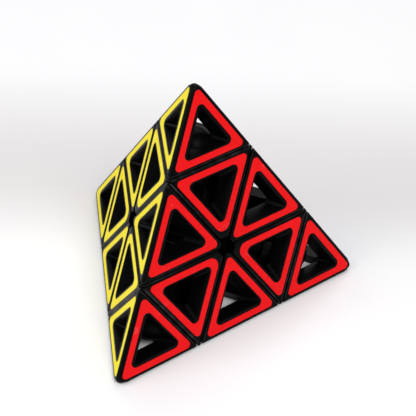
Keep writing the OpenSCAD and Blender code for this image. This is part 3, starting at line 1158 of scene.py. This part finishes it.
@dataclass
class TileSet:
    """The thirty-six coloured tiles, each a flat band round its cell's window.

    Attributes:
        form: The pyramid's sizes.
        inset: From a cell's side to the tile.
        outer_extra: How much more that is along the pyramid's outer edges.
        band: Width of the band.
        thick: Thickness of the tile.
        play: How much smaller a tile is than its recess.
        corner: Radius in its outer corners.
        centre_corner: The same where an axial tile points to the middle of a face.
        window_corner: Radius in its inner corners.
        edge_round: How far its edges are softened.
        corner_steps: Steps round a corner.
        edge_steps: Steps across a softened edge.
        shade_angle: An edge that turns more than this stays sharp in the shading.
    """

    form: PyramidForm
    inset: float = 1.3 * MM
    outer_extra: float = 0.4 * MM
    band: float = 2.15 * MM
    thick: float = 0.4 * MM
    play: float = 0.03 * MM
    corner: float = 1.3 * MM
    centre_corner: float = 2.8 * MM
    window_corner: float = 1.65 * MM
    edge_round: float = 0.09 * MM
    corner_steps: int = 7
    edge_steps: int = 2
    shade_angle: float = 60.0
    tree: ShapeTree = field(init=False)

    def __post_init__(self) -> None:
        """Builds the tile's tree."""
        self.tree = self.band_tree()

    def band_tree(self) -> ShapeTree:
        """Builds the rule for a tile: a rounded section carried round a rounded triangle.

        Returns:
            The tree.
        """
        tree = ShapeTree(
            "tile_band",
            {
                "Outer Radius": 10.0 * MM,
                "Inner Radius": 6.0 * MM,
                "Point Corner": 1.3 * MM,
                "Base Corner": 1.3 * MM,
                "Window Corner": 1.6 * MM,
                "Band": 2.1 * MM,
                "Thickness": 0.4 * MM,
                "Edge Round": 0.1 * MM,
                "Corner Steps": 6,
                "Edge Steps": 2,
            },
        )
        bench = tree.bench
        index = bench.out("GeometryNodeInputIndex")
        at_point = bench.add("FunctionNodeCompare", data_type="INT", operation="EQUAL")
        whole_inputs = [s for s in at_point.inputs if s.type == "INT"]
        bench.feed(whole_inputs[0], index)
        bench.feed(whole_inputs[1], 0)
        corner = bench.out(
            "GeometryNodeSwitch",
            {
                "Switch": at_point.outputs[0],
                "False": tree.value("Base Corner"),
                "True": tree.value("Point Corner"),
            },
            input_type="FLOAT",
        )
        outer = self.rounded_loop(tree, tree.value("Outer Radius"), corner, "Corner Steps")
        inner = self.rounded_loop(
            tree, tree.value("Inner Radius"), tree.value("Window Corner"), "Corner Steps"
        )
        section = bench.out(
            "GeometryNodeCurvePrimitiveQuadrilateral",
            {"Width": tree.value("Band"), "Height": tree.value("Thickness")},
            mode="RECTANGLE",
        )
        section = self.fillet(tree, section, tree.value("Edge Round"), "Edge Steps")
        round_count = self.count(tree, outer)
        section_count = self.count(tree, section)
        rows = bench.whole("ADD", section_count, 1)
        sheet = bench.add(
            "GeometryNodeMeshGrid",
            {"Vertices X": bench.whole("ADD", round_count, 1), "Vertices Y": rows},
        ).outputs["Mesh"]
        here = bench.out("GeometryNodeInputIndex")
        step_round = bench.whole("MODULO", bench.whole("DIVIDE_FLOOR", here, rows), round_count)
        step_section = bench.whole("MODULO", bench.whole("MODULO", here, rows), section_count)
        outside = bench.at_index(outer, step_round)
        inside = bench.at_index(inner, step_round)
        parts = bench.add("ShaderNodeSeparateXYZ", {0: bench.at_index(section, step_section)})
        share = bench.sum("ADD", bench.sum("DIVIDE", parts.outputs[0], tree.value("Band")), 0.5)
        level = bench.sum(
            "SUBTRACT", parts.outputs[1], bench.sum("MULTIPLY", tree.value("Thickness"), 0.5)
        )
        across = bench.add("ShaderNodeMix", data_type="VECTOR", factor_mode="UNIFORM")
        vectors = [s for s in across.inputs if s.type == "VECTOR"]
        bench.feed(across.inputs[0], share)
        bench.feed(vectors[-2], outside)
        bench.feed(vectors[-1], inside)
        flat = [s for s in across.outputs if s.type == "VECTOR"][0]
        lift = bench.out("ShaderNodeCombineXYZ", {2: level})
        shaped = bench.out(
            "GeometryNodeSetPosition",
            {"Geometry": sheet, "Position": bench.vector("ADD", flat, lift)},
        )
        joined = bench.out(
            "GeometryNodeMergeByDistance", {"Geometry": shaped, "Distance": 2.0 * SAME_POINT}
        )
        tree.close(joined)
        return tree

    @staticmethod
    def fillet(
        tree: ShapeTree, curve: bpy.types.NodeSocket, radius: object, steps: str
    ) -> bpy.types.NodeSocket:
        """Rounds a curve's corners.

        Args:
            tree: The tile's tree.
            curve: The curve.
            radius: The radius or its source.
            steps: Name of the input that gives the number of steps.

        Returns:
            The rounded curve.
        """
        return tree.bench.out(
            "GeometryNodeFilletCurve",
            {"Curve": curve, "Count": tree.value(steps), "Radius": radius},
            mode="POLY",
        )

    def rounded_loop(
        self, tree: ShapeTree, radius: object, corner: object, steps: str
    ) -> bpy.types.NodeSocket:
        """Makes a rounded triangle with its first point along +X.

        Args:
            tree: The tile's tree.
            radius: Radius of the circle round the sharp triangle.
            corner: Radius in its corners.
            steps: Name of the input that gives the number of steps.

        Returns:
            The curve.
        """
        sharp = tree.bench.out(
            "GeometryNodeCurvePrimitiveCircle", {"Resolution": 3, "Radius": radius}, mode="RADIUS"
        )
        return self.fillet(tree, sharp, corner, steps)

    @staticmethod
    def count(tree: ShapeTree, curve: bpy.types.NodeSocket) -> bpy.types.NodeSocket:
        """The number of points of a curve."""
        return tree.bench.add(
            "GeometryNodeAttributeDomainSize", {"Geometry": curve}, component="CURVE"
        ).outputs["Point Count"]

    def build(self, nodes: dict[str, bpy.types.Object], finishes: FinishRack) -> None:
        """Makes every tile.

        Args:
            nodes: The frame's nodes by name.
            finishes: The finishes.
        """
        for node in sorted(n for n in nodes if n.startswith("tile_")):
            self.make(TileName(node), finishes)

    def make(self, tile: TileName, finishes: FinishRack) -> bpy.types.Object:
        """Makes one tile.

        Args:
            tile: Which tile.
            finishes: The finishes.

        Returns:
            The piece.
        """
        base = self.inset + self.play
        base += self.outer_extra if tile.kind is CellKind.EDGE else 0.0
        side = self.inset + self.play
        side += self.outer_extra if tile.kind is CellKind.TIP else 0.0
        shift = 2.0 * (base - side) / 3.0
        inside = self.form.cell_in - base + shift
        band = self.band - 2.0 * self.play
        point = self.centre_corner if tile.kind is CellKind.AXIAL else self.corner
        mesh = self.tree.make(
            "film_" + tile.node,
            bpy.data.meshes.new("start"),
            {
                "Outer Radius": 2.0 * inside,
                "Inner Radius": 2.0 * (inside - band),
                "Point Corner": point - self.play,
                "Base Corner": self.corner - self.play,
                "Window Corner": self.window_corner + self.play,
                "Band": band,
                "Thickness": self.thick,
                "Edge Round": self.edge_round,
                "Corner Steps": self.corner_steps,
                "Edge Steps": self.edge_steps,
            },
            finishes.tiles[tile.face],
        )
        place = self.form.cell_place(tile.kind, tile.face, tile.towards)
        mesh.transform(place @ Matrix.Translation((shift, 0.0, 0.0)))
        outward_faces(mesh)
        mesh = weighted_copy(mesh, self.shade_angle)
        return stand_for(tile.node, "film_" + tile.node, mesh, tile.body)


def outward_faces(mesh: bpy.types.Mesh) -> None:
    """Turns a closed mesh's faces outwards.

    Args:
        mesh: The mesh.
    """
    work = bmesh.new()
    work.from_mesh(mesh)
    bmesh.ops.recalc_face_normals(work, faces=work.faces)
    work.to_mesh(mesh)
    work.free()


@dataclass
class CornerStacks:
    """What holds the layers on the core: a screw, a washer and a spring on each of the four axes.

    Attributes:
        screw_foot: Height of the screw's end above the centre.
        head_z: Height of the underside of its head.
        shank: Radius of the shank's core.
        thread: Radius at the thread's crest.
        head: Radius of the head.
        head_h: Height of the head.
        slot_w: Width of the cross slot.
        slot_depth: Depth of the cross slot.
        washer_z: Height of the washer's underside.
        washer: Outer radius of the washer.
        washer_bore: Radius of its bore.
        washer_t: Its thickness.
        spring_z: Height of the spring's foot.
        spring: Radius of the spring at its wire's middle.
        wire: Radius of the wire.
        turns: Turns of the spring.
    """

    screw_foot: float
    head_z: float
    washer_z: float
    spring_z: float
    shank: float = 1.12 * MM
    thread: float = 1.38 * MM
    head: float = 2.58 * MM
    head_h: float = 1.08 * MM
    slot_w: float = 0.7 * MM
    slot_depth: float = 0.6 * MM
    washer: float = 2.8 * MM
    washer_bore: float = 1.5 * MM
    washer_t: float = 0.4 * MM
    spring: float = 2.3 * MM
    wire: float = 0.29 * MM
    turns: float = 5.0

    def four_points(self) -> bpy.types.Mesh:
        """The four directions of the axes, as loose points."""
        mesh = bpy.data.meshes.new("four_axes")
        mesh.from_pydata([c.axis for c in Corner], [], [])
        return mesh

    @staticmethod
    def set_out(
        tree: ShapeTree, item: bpy.types.NodeSocket, distance: bpy.types.NodeSocket
    ) -> bpy.types.NodeSocket:
        """Places an item that is made along +Z on each of the four axes.

        Args:
            tree: The item's tree.
            item: The item.
            distance: How far its foot is from the centre.

        Returns:
            The four items as instances.
        """
        bench = tree.bench
        place = bench.out("GeometryNodeInputPosition")
        scaled = bench.add("ShaderNodeVectorMath", operation="SCALE")
        bench.feed(scaled.inputs[0], place)
        bench.feed(scaled.inputs["Scale"], distance)
        feet = bench.out(
            "GeometryNodeSetPosition",
            {"Geometry": tree.value("Geometry"), "Position": scaled.outputs[0]},
        )
        along = bench.out("GeometryNodeInputPosition")
        turned = bench.out("FunctionNodeAlignRotationToVector", {"Vector": along}, axis="Z")
        return bench.out(
            "GeometryNodeInstanceOnPoints", {"Points": feet, "Instance": item, "Rotation": turned}
        )

    @staticmethod
    def lifted(
        tree: ShapeTree, shape: bpy.types.NodeSocket, height: object
    ) -> bpy.types.NodeSocket:
        """Lifts a shape along +Z."""
        rise = tree.bench.out("ShaderNodeCombineXYZ", {2: height})
        return tree.bench.out("GeometryNodeTransform", {"Geometry": shape, "Translation": rise})

    def spring_tree(self) -> ShapeTree:
        """Builds the rule for the coil springs.

        Returns:
            The tree.
        """
        tree = ShapeTree(
            "tension_spring",
            {
                "Distance": self.spring_z,
                "Coil Radius": self.spring,
                "Wire Radius": self.wire,
                "Length": 9.0 * MM,
                "Turns": self.turns,
                "Steps": 22,
            },
        )
        bench = tree.bench
        wire = tree.value("Wire Radius")
        helix = bench.out(
            "GeometryNodeCurveSpiral",
            {
                "Resolution": tree.value("Steps"),
                "Rotations": tree.value("Turns"),
                "Start Radius": tree.value("Coil Radius"),
                "End Radius": tree.value("Coil Radius"),
                "Height": bench.sum(
                    "SUBTRACT", tree.value("Length"), bench.sum("MULTIPLY", wire, 2.0)
                ),
            },
        )
        section = bench.out(
            "GeometryNodeCurvePrimitiveCircle", {"Resolution": 8, "Radius": wire}, mode="RADIUS"
        )
        coil = bench.out(
            "GeometryNodeCurveToMesh",
            {"Curve": helix, "Profile Curve": section, "Fill Caps": True},
        )
        tree.close(self.set_out(tree, self.lifted(tree, coil, wire), tree.value("Distance")))
        return tree

    def washer_tree(self) -> ShapeTree:
        """Builds the rule for the washers under the screws' heads.

        Returns:
            The tree.
        """
        tree = ShapeTree(
            "spring_washer",
            {
                "Distance": self.washer_z,
                "Outer Radius": self.washer,
                "Bore Radius": self.washer_bore,
                "Thickness": self.washer_t,
                "Steps": 40,
            },
        )
        bench = tree.bench
        outer = tree.value("Outer Radius")
        bore = tree.value("Bore Radius")
        round_trip = bench.out(
            "GeometryNodeCurvePrimitiveCircle",
            {
                "Resolution": tree.value("Steps"),
                "Radius": bench.sum("MULTIPLY", bench.sum("ADD", outer, bore), 0.5),
            },
            mode="RADIUS",
        )
        section = bench.out(
            "GeometryNodeCurvePrimitiveQuadrilateral",
            {"Width": bench.sum("SUBTRACT", outer, bore), "Height": tree.value("Thickness")},
            mode="RECTANGLE",
        )
        soft = bench.out(
            "GeometryNodeFilletCurve",
            {"Curve": section, "Count": 2, "Radius": 0.08 * MM},
            mode="POLY",
        )
        ring = bench.out("GeometryNodeCurveToMesh", {"Curve": round_trip, "Profile Curve": soft})
        half = bench.sum("MULTIPLY", tree.value("Thickness"), 0.5)
        tree.close(self.set_out(tree, self.lifted(tree, ring, half), tree.value("Distance")))
        return tree

    def screw_tree(self) -> ShapeTree:
        """Builds the rule for the corner screws: a threaded shank under a domed head with a cross slot.

        Returns:
            The tree.
        """
        tree = ShapeTree(
            "corner_screw",
            {
                "Distance": self.screw_foot,
                "Length": self.head_z - self.screw_foot,
                "Shank Radius": self.shank,
                "Thread Radius": self.thread,
                "Head Radius": self.head,
                "Head Height": self.head_h,
                "Slot Width": self.slot_w,
                "Slot Depth": self.slot_depth,
                "Thread Length": 9.0 * MM,
                "Thread Turns": 11.0,
            },
        )
        bench = tree.bench
        length = tree.value("Length")
        shank = bench.add(
            "GeometryNodeMeshCylinder",
            {"Vertices": 24, "Radius": tree.value("Shank Radius"), "Depth": length},
        ).outputs["Mesh"]
        shank = self.lifted(tree, shank, bench.sum("MULTIPLY", length, 0.5))
        crest = bench.sum("SUBTRACT", tree.value("Thread Radius"), tree.value("Shank Radius"))
        helix = bench.out(
            "GeometryNodeCurveSpiral",
            {
                "Resolution": 20,
                "Rotations": tree.value("Thread Turns"),
                "Start Radius": tree.value("Shank Radius"),
                "End Radius": tree.value("Shank Radius"),
                "Height": tree.value("Thread Length"),
            },
        )
        ridge = bench.out(
            "GeometryNodeCurvePrimitiveCircle", {"Resolution": 4, "Radius": crest}, mode="RADIUS"
        )
        thread = bench.out(
            "GeometryNodeCurveToMesh", {"Curve": helix, "Profile Curve": ridge, "Fill Caps": True}
        )
        thread = self.lifted(tree, thread, crest)
        head = self.head_shape(tree)
        joined = bench.add("GeometryNodeJoinGeometry")
        for part in (shank, thread, self.lifted(tree, head, length)):
            bench.tree.links.new(part, joined.inputs[0])
        tree.close(self.set_out(tree, joined.outputs[0], tree.value("Distance")))
        return tree

    @staticmethod
    def head_shape(tree: ShapeTree) -> bpy.types.NodeSocket:
        """Makes the screw's domed head with its cross slot, standing on z = 0.

        Args:
            tree: The screw's tree.

        Returns:
            The head.
        """
        bench = tree.bench
        height = tree.value("Head Height")
        disc = bench.add(
            "GeometryNodeMeshCylinder",
            {
                "Vertices": 40,
                "Side Segments": 3,
                "Fill Segments": 4,
                "Radius": tree.value("Head Radius"),
                "Depth": height,
            },
        ).outputs["Mesh"]
        place = bench.out("GeometryNodeInputPosition")
        parts = bench.add("ShaderNodeSeparateXYZ", {0: place})
        flat = bench.add("ShaderNodeCombineXYZ", {0: parts.outputs[0], 1: parts.outputs[1]})
        reach = bench.add("ShaderNodeVectorMath", {0: flat.outputs[0]}, operation="LENGTH")
        far = bench.sum("DIVIDE", reach.outputs["Value"], tree.value("Head Radius"))
        fall = bench.sum("MULTIPLY", bench.sum("POWER", far, 3.0), 0.45)
        top_share = bench.sum(
            "ADD", bench.sum("DIVIDE", parts.outputs[2], height), 0.5, clamp=True
        )
        drop = bench.sum("MULTIPLY", bench.sum("MULTIPLY", fall, top_share), height)
        lowered = bench.sum("MULTIPLY", drop, -1.0)
        offset = bench.out("ShaderNodeCombineXYZ", {2: lowered})
        domed = bench.out("GeometryNodeSetPosition", {"Geometry": disc, "Offset": offset})
        domed = CornerStacks.lifted(tree, domed, bench.sum("MULTIPLY", height, 0.5))
        length = bench.sum("MULTIPLY", tree.value("Head Radius"), 1.3)
        depth = tree.value("Slot Depth")
        cutters = []
        for size in ((length, tree.value("Slot Width")), (tree.value("Slot Width"), length)):
            extent = bench.out(
                "ShaderNodeCombineXYZ",
                {0: size[0], 1: size[1], 2: bench.sum("MULTIPLY", depth, 2.0)},
            )
            bar = bench.add("GeometryNodeMeshCube", {"Size": extent}).outputs["Mesh"]
            cutters.append(CornerStacks.lifted(tree, bar, height))
        cut = bench.add("GeometryNodeMeshBoolean", {0: domed}, operation="DIFFERENCE")
        for bar in cutters:
            bench.tree.links.new(bar, cut.inputs[1])
        return cut.outputs[0]

    def build(self, finishes: FinishRack) -> None:
        """Makes the screws, the springs and the washers.

        Args:
            finishes: The finishes.
        """
        spring_length = self.washer_z - self.spring_z - 0.05 * MM
        for name, tree, values, slot, finish in (
            ("corner_screws", self.screw_tree(), {}, "screw_steel", finishes.steel),
            (
                "tension_springs",
                self.spring_tree(),
                {"Length": spring_length},
                "spring_steel",
                finishes.spring_steel,
            ),
            ("spring_washers", self.washer_tree(), {}, "washer_steel", finishes.steel),
        ):
            mesh = tree.make(name + "_set", self.four_points(), values, finish)
            outward_faces(mesh)
            mesh = weighted_copy(mesh, TURNED_SHADE_ANGLE)
            stand_for(name, name + "_set", mesh, "core")


@dataclass
class ScrewCaps:
    """The four domed caps that hide the screws inside the tips.

    Attributes:
        floor_z: Height of the floor that they stand on, along their corner's axis.
        radius: Radius at the foot.
        height: Height of the dome.
        wall: Thickness of the wall.
        steps_round: Steps round a cap.
        steps_up: Steps from its foot to its crown.
    """

    floor_z: float
    radius: float = 6.6 * MM
    height: float = 5.0 * MM
    wall: float = 0.8 * MM
    steps_round: int = 64
    steps_up: int = 14

    def dome_tree(self) -> ShapeTree:
        """Builds the rule for a cap: a section of two arcs turned round the axis.

        Returns:
            The tree.
        """
        tree = ShapeTree(
            "screw_cap_dome",
            {
                "Foot Radius": self.radius,
                "Height": self.height,
                "Wall": self.wall,
                "Steps Round": self.steps_round,
                "Steps Up": self.steps_up,
            },
        )
        bench = tree.bench
        foot, height = tree.value("Foot Radius"), tree.value("Height")
        ball = bench.sum(
            "DIVIDE",
            bench.sum(
                "ADD", bench.sum("MULTIPLY", foot, foot), bench.sum("MULTIPLY", height, height)
            ),
            bench.sum("MULTIPLY", height, 2.0),
        )
        centre = bench.sum("SUBTRACT", height, ball)
        inner_ball = bench.sum("SUBTRACT", ball, tree.value("Wall"))
        outer_arc = self.arc(tree, ball, centre, rising=True)
        inner_arc = self.arc(tree, inner_ball, centre, rising=False)
        up = tree.value("Steps Up")
        rows = bench.whole("MULTIPLY", bench.whole("ADD", up, 1), 2)
        closed_rows = bench.whole("ADD", rows, 1)
        sheet = bench.add(
            "GeometryNodeMeshGrid",
            {
                "Vertices X": bench.whole("ADD", tree.value("Steps Round"), 1),
                "Vertices Y": closed_rows,
            },
        ).outputs["Mesh"]
        here = bench.out("GeometryNodeInputIndex")
        step_round = bench.whole("DIVIDE_FLOOR", here, closed_rows)
        step_up = bench.whole("MODULO", bench.whole("MODULO", here, closed_rows), rows)
        half = bench.whole("ADD", up, 1)
        past = bench.add("FunctionNodeCompare", data_type="INT", operation="GREATER_EQUAL")
        compared = [s for s in past.inputs if s.type == "INT"]
        bench.feed(compared[0], step_up)
        bench.feed(compared[1], half)
        pick = bench.out(
            "GeometryNodeSwitch",
            {
                "Switch": past.outputs[0],
                "False": bench.at_index(outer_arc, step_up),
                "True": bench.at_index(inner_arc, bench.whole("SUBTRACT", step_up, half)),
            },
            input_type="VECTOR",
        )
        parts = bench.add("ShaderNodeSeparateXYZ", {0: pick})
        angle = bench.sum(
            "MULTIPLY", bench.sum("DIVIDE", step_round, tree.value("Steps Round")), 2.0 * math.pi
        )
        reach = bench.sum("MAXIMUM", parts.outputs[0], 0.0)
        spot = bench.out(
            "ShaderNodeCombineXYZ",
            {
                0: bench.sum("MULTIPLY", reach, bench.sum("COSINE", angle)),
                1: bench.sum("MULTIPLY", reach, bench.sum("SINE", angle)),
                2: parts.outputs[1],
            },
        )
        turned = bench.out("GeometryNodeSetPosition", {"Geometry": sheet, "Position": spot})
        tree.close(
            bench.out(
                "GeometryNodeMergeByDistance", {"Geometry": turned, "Distance": 2.0 * SAME_POINT}
            )
        )
        return tree

    @staticmethod
    def arc(
        tree: ShapeTree, ball: bpy.types.NodeSocket, centre: bpy.types.NodeSocket, rising: bool
    ) -> bpy.types.NodeSocket:
        """Makes one arc of the cap's section, from its foot to its crown or back.

        Args:
            tree: The cap's tree.
            ball: The arc's radius.
            centre: Height of its centre.
            rising: Whether it runs up to the crown.

        Returns:
            A curve in the XY plane, with its radius along X and its height along Y.
        """
        bench = tree.bench
        line = bench.out(
            "GeometryNodeCurvePrimitiveLine", {"Start": (0.0, 0.0, 0.0), "End": (1.0, 0.0, 0.0)}
        )
        line = bench.out(
            "GeometryNodeResampleCurve",
            {"Curve": line, "Count": bench.whole("ADD", tree.value("Steps Up"), 1)},
        )
        share = bench.add("GeometryNodeSplineParameter").outputs["Factor"]
        foot_angle = bench.sum(
            "ARCCOSINE", bench.sum("DIVIDE", bench.sum("MULTIPLY", centre, -1.0), ball)
        )
        if rising:
            share = bench.sum("SUBTRACT", 1.0, share)
        angle = bench.sum("MULTIPLY", foot_angle, share)
        spot = bench.out(
            "ShaderNodeCombineXYZ",
            {
                0: bench.sum("MULTIPLY", ball, bench.sum("SINE", angle)),
                1: bench.sum(
                    "ADD", centre, bench.sum("MULTIPLY", ball, bench.sum("COSINE", angle))
                ),
            },
        )
        return bench.out("GeometryNodeSetPosition", {"Geometry": line, "Position": spot})

    def build(self, finishes: FinishRack) -> None:
        """Makes the four caps.

        Args:
            finishes: The finishes.
        """
        tree = self.dome_tree()
        for corner in Corner:
            name = "screw_cap_" + corner.value
            mesh = tree.make(
                name + "_dome", bpy.data.meshes.new("start"), {}, finishes.cap_plastic
            )
            mesh.transform(corner.turn @ Matrix.Translation((0.0, 0.0, self.floor_z)))
            outward_faces(mesh)
            mesh = weighted_copy(mesh, TURNED_SHADE_ANGLE)
            body = "tip_" + corner.value
            stand_for(name, name + "_dome", mesh, body)


# ------------------------------------------------------------------------------------------ the studio


@dataclass
class Studio:
    """The pale floor, the soft lights and the camera.

    Attributes:
        floor_z: Height of the floor.
        camera_place: Where the camera stands.
        looks: The direction that it looks in.
        rightward: Its own rightward direction.
        lens: Its focal length on a 36 mm sensor, in millimetres.
    """

    floor_z: float
    camera_place: tuple[float, float, float] = (0.13547, -0.32512, 0.29694)
    looks: tuple[float, float, float] = (-0.28718, 0.71978, -0.63201)
    rightward: tuple[float, float, float] = (0.91966, 0.39170, 0.02821)
    lens: float = 124.27

    def build(self) -> None:
        """Makes the floor, the lights, the surroundings and the camera."""
        self.lay_floor()
        self.hang_lights()
        self.light_surroundings()
        self.set_camera()
        bpy.context.scene.view_settings.view_transform = "Standard"

    def lay_floor(self) -> None:
        """Lays the floor of smooth pale card, with a band of painted shade in its colour behind the puzzle."""
        half = 3.0
        mesh = bpy.data.meshes.new("floor")
        corners = [(-half, -half), (half, -half), (half, half), (-half, half)]
        mesh.from_pydata([(x, y, self.floor_z) for x, y in corners], [], [(0, 1, 2, 3)])
        floor = bpy.data.objects.new("floor", mesh)
        bpy.context.scene.collection.objects.link(floor)
        material, bench, shader = new_material("pale_card")
        place = bench.add("ShaderNodeTexCoord").outputs["Object"]
        fibre = bench.add("ShaderNodeTexNoise", {"Vector": place, "Scale": 35.0, "Detail": 3.0})
        paper = mix_colour(bench, fibre.outputs[0], (0.86, 0.86, 0.87), (0.83, 0.83, 0.845))
        # the card's colour is darkened towards grey by a painted band of shade behind the puzzle
        bench.feed(
            shader.inputs["Base Color"],
            mix_colour(bench, self.painted_shade_band(bench, place), paper, (0.66, 0.64, 0.645)),
        )
        shader.inputs["Roughness"].default_value = 0.75
        shader.inputs["Specular IOR Level"].default_value = 0.2
        mesh.materials.append(material)
        floor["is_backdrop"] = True

    @staticmethod
    def painted_shade_band(bench: NodeBench, place: bpy.types.NodeSocket) -> bpy.types.NodeSocket:
        """Paints a soft grey band of shade into the flat card's colour behind the puzzle.

        Args:
            bench: The card's bench.
            place: The place on the card.

        Returns:
            How much painted shade the card has there, from 0 to 1.
        """
        along = bench.add(
            "ShaderNodeVectorMath", {0: place, 1: (-0.37, 0.93, 0.0)}, operation="DOT_PRODUCT"
        ).outputs["Value"]
        soft = {"interpolation_type": "SMOOTHSTEP"}
        rise = bench.spread(along, (0.0, 0.05), **soft)
        fall = bench.spread(along, (0.06, 0.13), (1.0, 0.1), **soft)
        return bench.sum("MULTIPLY", rise, fall)

    def hang_lights(self) -> None:
        """Hangs the soft lights."""
        for name, place, size, power, colour in (
            ("key_softbox", (0.45, -0.35, 0.75), 0.4, 5.0, (1.0, 0.99, 0.97)),
            ("fill_softbox", (-0.55, -0.45, 0.6), 0.6, 4.5, (0.98, 0.98, 1.0)),
            ("back_softbox", (-0.1, 0.7, 0.75), 0.6, 4.0, (0.98, 0.99, 1.0)),
        ):
            data = bpy.data.lights.new(name, "AREA")
            data.shape = "SQUARE"
            data.size = size
            data.energy = power
            data.color = colour
            light = bpy.data.objects.new(name, data)
            light.location = place
            aim = Vector((0.0, 0.0, 0.0)) - Vector(place)
            light.rotation_euler = aim.to_track_quat("-Z", "Y").to_euler()
            bpy.context.scene.collection.objects.link(light)

    def light_surroundings(self) -> None:
        """Makes the even light of a pale room, which shows brighter than it lights."""
        world = bpy.data.worlds.new("studio")
        bpy.context.scene.world = world
        world.use_nodes = True
        world.node_tree.nodes.clear()
        bench = NodeBench(world.node_tree)
        path = bench.add("ShaderNodeLightPath")
        room = bench.add("ShaderNodeBackground", {"Color": (1.0, 1.0, 1.0, 1.0), "Strength": 0.3})
        seen = bench.add("ShaderNodeBackground", {"Color": (1.0, 1.0, 1.0, 1.0), "Strength": 0.9})
        mixed = bench.add(
            "ShaderNodeMixShader",
            {0: path.outputs["Is Camera Ray"], 1: room.outputs[0], 2: seen.outputs[0]},
        )
        bench.add("ShaderNodeOutputWorld", {"Surface": mixed.outputs[0]})

    def set_camera(self) -> None:
        """Sets up the camera."""
        data = bpy.data.cameras.new("camera")
        data.sensor_width = 36.0
        data.lens = self.lens
        data.clip_start = 0.01
        data.clip_end = 20.0
        camera = bpy.data.objects.new("camera", data)
        back = -Vector(self.looks).normalized()
        right = Vector(self.rightward)
        right = (right - right.dot(back) * back).normalized()
        up = back.cross(right)
        turn = Matrix((right, up, back)).transposed()
        camera.matrix_world = Matrix.Translation(self.camera_place) @ turn.to_4x4()
        bpy.context.scene.collection.objects.link(camera)
        bpy.context.scene.camera = camera


# ------------------------------------------------------------------------------------------ making it all


def along_top(node: str) -> tuple[float, float]:
    """The lowest and highest place that a node reaches on the top corner's axis."""
    low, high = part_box(node)
    return low.z, high.z


def main() -> None:
    """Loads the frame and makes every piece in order."""
    logging.basicConfig(level=logging.INFO, format="%(message)s")
    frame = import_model()
    cad_low, cad_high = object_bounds()
    form = PyramidForm()
    finishes = FinishRack()
    MouldedPieces(form).build(frame["nodes"], finishes)
    TileSet(form).build(frame["nodes"], finishes)
    ScrewCaps(floor_z=form.tip_floor_z).build(finishes)
    washer_z = along_top("spring_washers")[1] - 0.4 * MM
    screw_top = along_top("corner_screws")[1]
    CornerStacks(
        screw_foot=8.0 * MM,
        head_z=screw_top - 1.1 * MM,
        washer_z=washer_z,
        spring_z=washer_z - 9.0 * MM,
    ).build(finishes)
    Studio(floor_z=cad_low.z).build()


if __name__ == "__main__":
    main()
